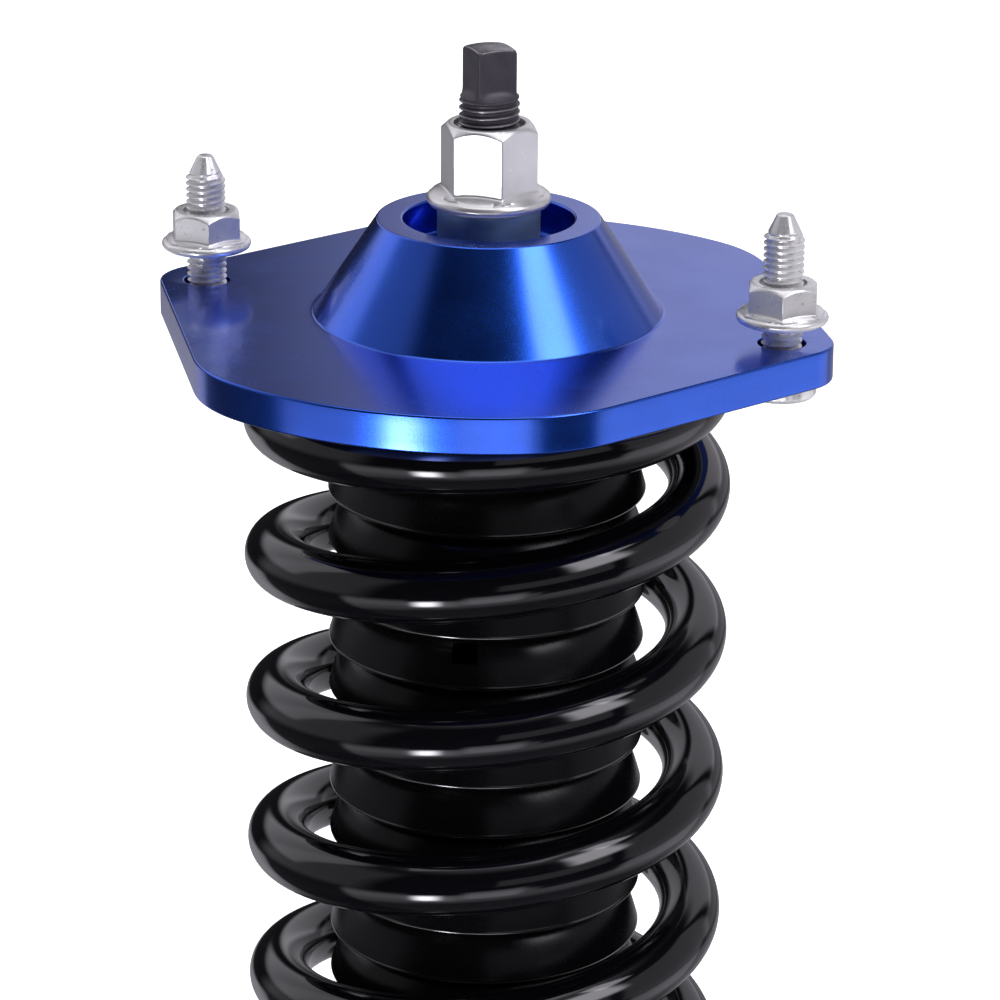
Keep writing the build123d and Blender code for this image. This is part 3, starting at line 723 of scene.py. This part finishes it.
# --- coil spring
LOWER_SEAT, HAT_SEAT = span("coil_spring")
WIRE_R, COIL_R, PITCH = 6.2, 42.3, 30.7
ACTIVE_TURNS = 5.5
CLOSING, CLOSING_PITCH = (0.55, 0.53), (23.4, 9.05)   # turns at either end, inner and outer
TIP_HEIGHT, TIP_SLOPE = 0.1, 3         # of the wire's middle over the seat; its rise per turn there
TIP_ANGLE = radians(99.2)
GROUND_GAP = 0.03                      # the ground tips stand this far off both seats


def coil_spring():
    """Right-hand coil; the slope eases from the working pitch to nearly flat at both ground tips."""
    per_turn, around = 120, 48
    close = sum(CLOSING)
    drop = sum(turns * pitch for turns, pitch in zip(CLOSING, CLOSING_PITCH))
    total = ACTIVE_TURNS + 2 * close
    steps = int(round(total * per_turn))
    s = np.linspace(0, total, steps + 1)       # turns up from the lower tip
    from_end = np.minimum(s, total - s)
    share = np.clip(from_end / close, 0, 1)
    # rise over the end coil: cubic that starts almost flat and meets the working pitch
    a1 = TIP_SLOPE * close
    a3 = PITCH * close - 2 * drop + a1
    a2 = drop - a1 - a3
    rise = a1 * share + a2 * share ** 2 + a3 * share ** 3
    rise += np.clip(from_end - close, 0, None) * PITCH
    rise += TIP_HEIGHT
    centre_z = np.where(s < total / 2, LOWER_SEAT + rise, HAT_SEAT - rise)
    turn = TIP_ANGLE - TAU * (total - s)
    lean = np.arctan(np.gradient(centre_z, s) / (TAU * COIL_R))
    # the wire's cross-section stands square to its own run
    radial = np.stack([np.cos(turn), np.sin(turn), 0 * turn], -1)
    upward = np.stack([np.sin(turn) * np.sin(lean), -np.cos(turn) * np.sin(lean), np.cos(lean)], -1)
    centre = radial * COIL_R + np.stack([0 * turn, 0 * turn, centre_z], -1)
    t = np.array(ring_angles(around))[None, :, None]
    grid = centre[:, None] + WIRE_R * (np.cos(t) * radial[:, None] + np.sin(t) * upward[:, None])
    grid[..., 2] = np.clip(grid[..., 2], LOWER_SEAT + GROUND_GAP, HAT_SEAT - GROUND_GAP)
    points = grid.reshape(-1, 3)
    faces = []
    for i in range(steps):
        for k in range(around):
            m = (k + 1) % around
            here, there = i * around, (i + 1) * around
            faces.append((here + k, here + m, there + m, there + k))
    faces.append(tuple(range(around)))
    faces.append(tuple(steps * around + k for k in range(around))[::-1])
    # how far each section would follow the lower seat (ground turns on their seats, working turns
    # sharing the travel); worked out but not used
    ground_end = s[np.searchsorted(rise[:steps // 2], WIRE_R + TIP_HEIGHT)]
    give = np.clip((from_end - ground_end) / (close - ground_end), 0, 1)
    follow = np.concatenate([[0], np.cumsum(0.5 * (give[1:] + give[:-1]))])
    follow = 1 - follow / follow[-1]
    follow = np.repeat(follow, around)
    made = mesh("coil_spring_painted", points, faces, None, SPRING_PAINT,
                ["coil_spring"], weighted=False)
    made.data.set_sharp_from_angle(angle=WIDE_CREASE)
    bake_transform(made)


coil_spring()


# --- dust boot
BOOT_LOW, BOOT_TOP = span("dust_boot")
FOLDS, FOLD_PITCH = 17, 10.5
BOOT_FOLDS_TOP = BOOT_TOP - 4
BOOT_FOLDS_LOW = BOOT_FOLDS_TOP - FOLDS * FOLD_PITCH
BOOT_RING_R = 27.05
BOOT_WALL = 0.8
VENT_FOLD, VENT_ANGLE, VENT_HALF = 4, radians(-78.5), radians(4.9)
VENT_TOP, VENT_LOW = -0.5, -4.3        # below the fold's top
VENT_CLEAR = 0.012                     # columns nearer than this to the vent's sides are left out
LIP_TOP, LIP_LOW = 8.2, 9.3            # the shiny part of each fold, down from its top
LIP_R = 30.9                           # and out from here


def dust_boot():
    """Bells that widen down to a crisp lip, with a flat collar above, a cuff below and a vent hole."""
    fold = [(27.9, 0), (28.1, -0.3), (28.3, VENT_TOP), (28.75, -1), (29.3, -1.9), (29.85, -3),
            (30.35, VENT_LOW), (30.8, -5.6), (31.2, -6.9), (31.45, -7.8), (31.6, -8.3), (31.69, -8.55),
            (31.7, -8.75), (31.63, -8.95), (31.45, -9.1), (31.1, -9.22), (30, -9.5), (28.6, -9.95),
            (28, -10.3)]
    top_low = BOOT_FOLDS_TOP + 0.5
    outer = [(31, BOOT_TOP), (31.1, BOOT_TOP - 0.3), (31.1, top_low), (30.8, top_low - 0.3),
             (28.6, top_low - 0.45)]
    cuff_in, cuff_out = BOOT_RING_R, BOOT_RING_R + 1.6
    inner = [(cuff_in, BOOT_LOW), (cuff_in, BOOT_FOLDS_LOW - 1)]
    first = len(outer) + VENT_FOLD * len(fold)
    for i in range(FOLDS):
        outer += [(r, BOOT_FOLDS_TOP - i * FOLD_PITCH + z) for r, z in fold]
    outer += [(cuff_out, BOOT_FOLDS_LOW - 0.6), (cuff_out, BOOT_FOLDS_LOW - 3),
              (cuff_out + 0.5, BOOT_FOLDS_LOW - 3.6), (cuff_out + 0.5, BOOT_LOW + 0.8),
              (cuff_out + 0.1, BOOT_LOW + 0.1), (cuff_out - 0.4, BOOT_LOW)]
    for i in reversed(range(FOLDS)):
        if i == VENT_FOLD:
            last = len(outer) + len(inner) + len(fold) - 1
        inner += [(r - BOOT_WALL, BOOT_FOLDS_TOP - i * FOLD_PITCH + z) for r, z in fold[::-1]]
    inner += [(30, BOOT_FOLDS_TOP), (30, BOOT_TOP)]
    outline = outer + inner
    rows = len(outline)
    sides = (VENT_ANGLE % TAU - VENT_HALF, VENT_ANGLE % TAU + VENT_HALF)
    clear = [a for a in ring_angles(160) if min(abs(a - side) for side in sides) > VENT_CLEAR]
    angles = sorted(clear + list(sides))
    points, faces = columns(angles, lambda i, a: outline)
    # the vent: faces left out of both walls, and the cut edge between them
    left, right = angles.index(sides[0]), angles.index(sides[1])
    levels = [z for r, z in fold]
    up, down = levels.index(VENT_TOP), levels.index(VENT_LOW)
    dropped = {i * rows + row for i in range(left, right) for j in range(up, down)
               for row in (first + j, last - j - 1)}
    faces = [f for f in faces if f[0] not in dropped]

    def pair(i, j):
        return i * rows + first + j, i * rows + last - j

    rim = [(i, up) for i in range(left, right)] + [(right, j) for j in range(up, down)]
    rim += [(i, down) for i in range(right, left, -1)] + [(left, j) for j in range(down, up, -1)]
    for a, b in zip(rim, rim[1:] + rim[:1]):
        (a_out, a_in), (b_out, b_in) = pair(*a), pair(*b)
        faces.append((a_out, b_out, b_in, a_in))
    made = mesh("dust_boot_bellows", points, faces, None, RUBBER, ["dust_boot"],
                weighted=False)
    made.data.set_sharp_from_angle(angle=WIDE_CREASE)
    made.data.materials.append(RUBBER_LIP)
    for face in made.data.polygons:
        below = (BOOT_FOLDS_TOP - face.center.z / MM) % FOLD_PITCH
        if LIP_TOP < below < LIP_LOW and face.center.xy.length > LIP_R * MM:
            face.material_index = 1
    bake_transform(made)


dust_boot()


# --- hat, bump stop, collars
SEAT_RIM_R, LOCATOR_R = 49, 35.6       # outside of the hat, and of the lip inside the coil's ends


def spring_hat():
    shoulder, top = span("spring_hat")
    seat, lip = HAT_SEAT, HAT_SEAT - 5.5
    lathe("spring_hat_seat",
          [(6, shoulder), (14, shoulder, 0.5), (16, seat, 0.8), (33.4, seat, 0.6),
           (33.4, lip, 0.3), (34.8, lip, 0.3), (LOCATOR_R, lip + 1.5, 0.6), (LOCATOR_R, seat, 0.3),
           (SEAT_RIM_R, seat, 0.3), (SEAT_RIM_R, top, 0.5), (6, top)],
          "rod", BLACK_STEEL, ["spring_hat"])


def bump_stop():
    bottom, top = span("bump_stop")
    third = (top - bottom) / 3
    bore_r = ROD_R + 0.05
    profile = [(bore_r, top), (16, top, 0.8), (17, top - 2, 0.8)]
    for i in (1, 2):
        waist = top - i * third
        profile += [(17, waist + 2.5, 1.2), (14, waist, 1), (17, waist - 2.5, 1.2)]
    profile += [(17, bottom + 4, 1.5), (13.5, bottom, 0.8), (bore_r, bottom)]
    lathe("bump_stop_foam", profile, "rod", FOAM, ["bump_stop"], count=96)


def collars():
    """Steel collars that taper towards the ball, one on each side of it."""
    for node, name, way in (("upper_collar", "collar_above_ball", 1),
                            ("lower_collar", "collar_below_ball", -1)):
        ball, far = span(node)[::way]
        profile = [(6, ball), (8.5, ball, 0.2), (8.5, ball + 1.2 * way, 0.4),
                   (10.1, ball + 2.4 * way, 0.3), (10.1, far, 0.3), (6, far)]
        # the collars' blue is a painted reflection of the plate's blue recess
        lathe(name, profile, "rod", COLLAR_PAINTED_BLUE_REFLECTION, [node])


spring_hat()
bump_stop()
collars()


# --- damper body
BODY_R, BODY_BORE_R = 25, 22
THREAD_LEAD = 2
BORE_R = BODY_R + 0.05                 # of the pieces that screw onto the body
BODY_LOW, BODY_TOP = span("damper_body")


def damper_body():
    """Tube threaded along its whole length, closed below and open above."""
    root, crest = BODY_R - 1.1, BODY_R - 0.02

    def radius(angle, z, phase):
        r = root + (crest - root) * thread_wave(phase, 0.3, 0.25)
        relief = min(1, max(0, (BODY_TOP - 1.2 - z) / 1.2))
        foot = min(1, max(0, (z - BODY_LOW - 1.5) / 1.5))
        return root + (r - root) * relief * foot

    before = plain((root - 1.6, BODY_LOW), (root - 1.2, BODY_LOW + 0.1), (root, BODY_LOW + 1.3))
    after = plain((root - 0.1, BODY_TOP - 0.4), (root - 0.5, BODY_TOP), (BODY_BORE_R + 0.3, BODY_TOP),
                  (BODY_BORE_R, BODY_TOP - 0.3), (BODY_BORE_R, BODY_LOW + 10.5),
                  (BODY_BORE_R - 0.5, BODY_LOW + 10))
    points, faces = threaded(ring_angles(120), BODY_LOW + 1.5, BODY_TOP - 0.8, THREAD_LEAD, 8, radius,
                             before, after)
    mesh("damper_body_threaded", points, faces, "cylinder", BODY_STEEL,
         ["damper_body"], merge=WELD)


damper_body()


# --- spanner rings
RING_R, RING_CHAMFER = 34, 0.9
SLOTS, SLOT_W, SLOT_FLOOR = 6, 7, 30.5
SLOT_STEP = 0.012                      # the angle over which a slot's side falls


def spanner_ring(node, body, extra=None):
    """Ring with hook-spanner slots; extra(radius) may carry the profile on into a flange."""
    low, high = span(node)
    half, step = asin(SLOT_W / 2 / RING_R), SLOT_STEP
    side = [(half + step, RING_R), (half + 0.3 * step, RING_R - 0.12), (half, SLOT_FLOOR + 0.3),
            (half - step, SLOT_FLOOR)]
    angles, radii = [], []
    for slot in range(SLOTS):
        at = TAU / SLOTS * (slot + 0.5)
        for offset, r in [(-o, r) for o, r in side] + [(0, SLOT_FLOOR)] + side[::-1]:
            angles.append(at + offset)
            radii.append(r)
        gap = TAU / SLOTS - 2 * (half + step)
        for k in range(1, 14):
            angles.append(at + half + step + gap * k / 14)
            radii.append(RING_R)

    def profile(i, angle):
        r = radii[i]
        edge = r - RING_CHAMFER
        base = [(BORE_R, low + 0.6), (BORE_R + 0.6, low), (edge - 0.1, low), (edge + 0.1, low + 0.05),
                (r - 0.06, low + RING_CHAMFER - 0.12), (r, low + RING_CHAMFER + 0.1)]
        if extra:
            return base + extra(r)
        return base + [(r, 0.5 * (low + high)), (r, high - RING_CHAMFER - 0.1),
                       (r - 0.06, high - RING_CHAMFER + 0.12), (edge + 0.1, high - 0.05),
                       (edge - 0.1, high), (BORE_R + 0.6, high), (BORE_R, high - 0.6)]

    points, faces = columns(angles, profile)
    mesh(node + "_blue", points, faces, body, ANODISED, [node])


def perch_flange(r):
    """The perch's profile above its slotted part, of radius r: out to the flange and back in."""
    top = span("spring_perch")[1]
    low = top - 5
    return [(r, low - 2.6), (RING_R + 0.05, low - 2.2), (RING_R + 0.4, low - 1.9), (46.3, low + 0.9),
            (46.8, low + 1.25), (47.4, top - 1.5), (47.4, top - 1), (47.2, top - 0.6),
            (46.6, top - 0.05), (46.2, top), (BORE_R + 0.6, top), (BORE_R, top - 0.6)]


spanner_ring("spring_perch", "perch", perch_flange)
spanner_ring("perch_lock_ring", "perch")
spanner_ring("bracket_lock_ring", "bracket")


# --- lower seat ring, bush and bracket
def seat_ring():
    """Loose slip ring between the coil's lower end and the perch."""
    foot, lip = span("seat_ring")
    bore_r = BODY_R + 1
    lathe("spring_seat_ring",
          [(bore_r, foot, 0.3), (SEAT_RIM_R - 0.5, foot, 0.5), (SEAT_RIM_R - 0.5, LOWER_SEAT, 0.6),
           (LOCATOR_R, LOWER_SEAT, 0.4), (LOCATOR_R, lip - 1.5, 0.4), (LOCATOR_R - 1, lip, 0.4),
           (30, lip, 0.5), (30, LOWER_SEAT, 0.8), (bore_r, LOWER_SEAT, 0.4)],
          "spring_seat", NYLON, ["seat_ring"])


EYE_Z = -381
EYE_BORE_R, EYE_HALF = 17.5, 20        # EYE_HALF is half the length of the pressed sleeve
ACROSS = Matrix.Translation((0, 0, EYE_Z)) @ Matrix.Rotation(radians(90), 4, "Y")


def mirrored(half):
    """Half of a profile, and its mirror image in Z after it."""
    return half + [(r, -z, *radius) for r, z, *radius in half[::-1]]


def lower_bush():
    """Bonded bush in the lower eye: pressed sleeve, dished rubber, grooved bolt sleeve."""
    lathe("bush_pressed_sleeve", mirrored([(16.2, -EYE_HALF, 0.2), (EYE_BORE_R, -EYE_HALF, 0.5)]),
          "bracket", ZINC_FORGED, ["bush_outer_sleeve"], place=ACROSS)
    lathe("bush_rubber_dished",
          mirrored([(9.55, -19), (10.3, -19, 0.4), (11.6, -17, 1), (13.2, -16.2, 1.2), (14.8, -17, 1),
                    (15.6, -19, 0.3), (16.2, -19)]),
          "bracket", BUSH_RUBBER, ["bush_rubber"], place=ACROSS)
    lathe("bush_bolt_sleeve",
          mirrored([(6.1, -22.4), (6.7, -23), (7.3, -23), (7.5, -22.75), (7.9, -22.75), (8.1, -23),
                    (8.8, -23, 0.2), (9.5, -22.2, 0.3)]),
          "eye_sleeve", ZINC, ["bush_inner_sleeve"], place=ACROSS)


def solid(profile, count):
    """Points and faces of a capped turned solid."""
    return columns(ring_angles(count), lambda i, a: profile, capped=True)


def rough(name, points, faces, place=None):
    """A shape used only to build the bracket's casting."""
    return mesh(name, points, faces, None, BLACK_STEEL, weighted=False, place=place)


def baked(source):
    """The object's mesh with its modifiers applied, as a new mesh; the object itself is removed."""
    graph = bpy.context.evaluated_depsgraph_get()
    shape = bpy.data.meshes.new_from_object(source.evaluated_get(graph))
    bpy.data.objects.remove(source)
    return shape


CUP_FOOT, CUP_FLOOR = -354, -348       # outside and inside of the cup's bottom
WEB_HALF_X, WEB_HALF_Y = 16.4, 18.4
SKIN_VOXEL, SKIN_SOFTENING = 0.9, 14
SQUARE = ((-1, -1), (1, -1), (1, 1), (-1, 1))


def lower_bracket():
    """Cast cup and eye: one skin drawn over the rough shapes, then bored and faced."""
    top = span("lower_bracket")[1]
    cup = [(0, CUP_FOOT), (28.5, CUP_FOOT), (31.15, CUP_FOOT + 3), (31.15, top + 4), (0, top + 4)]
    pieces = [rough("cup_rough", *solid(cup, 96)),
              rough("eye_rough", *solid(mirrored([(0, -22), (21.1, -22)]), 96), ACROSS)]
    corners = [(x * WEB_HALF_X, y * WEB_HALF_Y, z) for z in (EYE_Z - 4, CUP_FOOT + 6)
               for x, y in SQUARE]
    sides = [(0, 1, 5, 4), (1, 2, 6, 5), (2, 3, 7, 6), (3, 0, 4, 7), (3, 2, 1, 0), (4, 5, 6, 7)]
    pieces.append(rough("web_rough", corners, sides))
    work = bmesh.new()
    for piece in pieces:
        work.from_mesh(piece.data)
        bpy.data.objects.remove(piece)
    joined = bpy.data.meshes.new("casting")
    work.to_mesh(joined)
    work.free()
    casting = placed("casting", joined)
    skin = casting.modifiers.new("skin", "REMESH")
    skin.mode, skin.voxel_size = "VOXEL", SKIN_VOXEL * MM
    soften = casting.modifiers.new("soften", "SMOOTH")
    soften.factor, soften.iterations = 0.5, SKIN_SOFTENING
    casting = placed("casting_skin", baked(casting))
    bore = [(0, CUP_FLOOR), (BORE_R, CUP_FLOOR), (BORE_R, top - 1.2), (BORE_R + 1.2, top),
            (40, top), (40, top + 8), (0, top + 8)]
    eye = mirrored([(0, -30), (24.5, -30), (24.5, -EYE_HALF), (EYE_BORE_R + 0.6, -EYE_HALF),
                    (EYE_BORE_R, 0.6 - EYE_HALF)])
    cutters = [rough("bore_cut", *solid(bore, 128)), rough("eye_bore_cut", *solid(eye, 128), ACROSS)]
    for cutter in cutters:
        cut = casting.modifiers.new(cutter.name, "BOOLEAN")
        cut.operation, cut.solver, cut.object = "DIFFERENCE", "EXACT", cutter
    shape = baked(casting)
    for cutter in cutters:
        bpy.data.objects.remove(cutter)
    points = [v.co / MM for v in shape.vertices]
    faces = [list(f.vertices) for f in shape.polygons]
    mesh("lower_bracket_cast", points, faces, "bracket", CAST_BLACK, ["lower_bracket"])


seat_ring()
lower_bush()
lower_bracket()


# --- CAD nodes that are shown as they are
SHOWN = (
    (STEEL, "bearing_race bearing_ball"),
    (ALUMINIUM, "top_out_spacer piston gland_nut rod_guide floating_piston"),
    (BODY_STEEL, "rebound_shims compression_shims piston_nut"),
    (BLACK_OXIDE, "bearing_circlip"), (LINER, "bearing_liner"), (BRONZE, "piston_band"),
    (BUSH_RUBBER, "rod_seal"), (NYLON, "boot_ring"),
)
for surface, names in SHOWN:
    for name in names.split():
        nodes[name].data.materials.clear()
        nodes[name].data.materials.append(surface)


# --- floor
BRACKET_REACH = 0.024                  # metres: the bracket screws down by less than this
FLOOR_Z = cad_low.z - BRACKET_REACH
FLOOR_HALF = 7                         # metres
PAPER, PAPER_MARK = colour(0.9, 0.9, 0.9), colour(0.92, 0.92, 0.92)
PAPER_ROUGHNESS, PAPER_GLOW = 0.8, 0.85


def floor():
    data = bpy.data.meshes.new("floor")
    data.from_pydata([(x * FLOOR_HALF, y * FLOOR_HALF, FLOOR_Z) for x, y in SQUARE], [],
                     [(0, 1, 2, 3)])
    made = placed("floor", data)
    paper, tree, shader, where = principled("floor_paper")
    tree.put(shader, "Base Color", tree.mix(tree.noise(where, 3), PAPER, PAPER_MARK))
    tree.put(shader, "Roughness", PAPER_ROUGHNESS)
    tree.put(shader, "Emission Color", WHITE)
    tree.put(shader, "Emission Strength", PAPER_GLOW)
    data.materials.append(paper)
    made.visible_glossy = False


floor()


# --- studio light
# Directions are in degrees: azimuth from the camera's side and positive to its right, and elevation.
PANELS = (
    # azimuth, elevation, half width, half height, edge, brightness
    (-96, 20, 26, 20, 18, 0.34),
    (98, 18, 30, 22, 5, 0.4),
    (30, 15, 26, 8, 3, 0.35),
    (-28, -25.5, 0.8, 3.6, 9, 23),
    (-24, -28, 4, 2, 13, 1.2),
    (-54, -20, 14, 8, 5, 0.34),
    (4, -20, 10, 8, 8, 1.2),
    (96, -20, 22, 10, 8, 0.45),
    (54, 44, 10, 11, 10, 5),
    (160, 24, 18, 13, 7, 0.66),
    (-136, 32, 26, 18, 8, 0.7),
    (152, 0, 22, 8, 8, 0.3),
    (76, 60, 9, 6, 5, 4),
)
SHADES = (
    # azimuth, half width, edge, share of the table's light that is lost, lowest elevation
    (46, 18, 5, 0.97, -27),
    (-100, 25, 8, 0.94, -90),
    (160, 40, 20, 0.45, -90),
)
SHADE_EDGE = 4
TABLE_RIM = (-19, -12, 0.68, 0)        # elevations from and to, brightness at either
TABLE_FOOT = (-52, -34, 0.12, 1)       # the same, as shares of the table's light
CEILING = (52, 82, 0.02, 0.8)          # as TABLE_RIM
ROOM_TINT = colour(0.985, 0.955, 1.04)
LAMP_SIZE, LAMP_WATTS, LAMP_PLACE = 1.6, 7, (-0.2, 0.2, 1.9)


def studio():
    """A dim room seen in reflections: a lit table, shades on it, a ceiling and soft panels. The camera
    itself sees plain white."""
    world = bpy.data.worlds.new("studio")
    bpy.context.scene.world = world
    world.use_nodes = True
    tree = Tree(world.node_tree)
    calc, ramp = tree.math, tree.ramp
    background = world.node_tree.nodes["Background"]
    where = tree.add("TexCoord").outputs["Generated"]
    turned = tree.add("VectorRotate", {"rotation_type": "Z_AXIS"}, Vector=where, Angle=-CAMERA_TURN)
    x, y, z = tree.add("SeparateXYZ", Vector=turned.outputs[0]).outputs
    azimuth = calc("DEGREES", calc("ARCTAN2", x, calc("MULTIPLY", y, -1)))
    elevation = calc("DEGREES", calc("ARCSINE", z))

    def across(centre, half, edge):
        away = calc("WRAP", calc("SUBTRACT", azimuth, centre), 180, -180)
        return ramp(calc("ABSOLUTE", away), half, half + edge, 1, 0)

    table = calc("MULTIPLY", ramp(elevation, *TABLE_RIM), ramp(elevation, *TABLE_FOOT))
    for centre, half, edge, lost, lowest in SHADES:
        shade = calc("MULTIPLY", across(centre, half, edge),
                     ramp(elevation, lowest, lowest + SHADE_EDGE))
        table = calc("MULTIPLY", table, calc("MULTIPLY_ADD", shade, -lost, 1))
    total = calc("ADD", table, ramp(elevation, *CEILING))
    for centre, height, half_w, half_h, edge, level in PANELS:
        above = calc("ABSOLUTE", calc("SUBTRACT", elevation, height))
        inside = calc("MULTIPLY", across(centre, half_w, edge),
                      ramp(above, half_h, half_h + edge, 1, 0))
        total = calc("MULTIPLY_ADD", inside, level, total)
    path = tree.add("LightPath").outputs["Is Camera Ray"]
    strength = calc("MULTIPLY_ADD", path, calc("SUBTRACT", 1, total), total)
    tree.put(background, "Color", tree.mix(path, ROOM_TINT, WHITE))
    tree.put(background, "Strength", strength)
    lamp = bpy.data.lights.new("overhead", "AREA")
    lamp.shape, lamp.size, lamp.size_y = "RECTANGLE", LAMP_SIZE, LAMP_SIZE
    lamp.energy = LAMP_WATTS
    holder = placed("overhead", lamp)
    holder.location = LAMP_PLACE
    holder.visible_camera = False


studio()
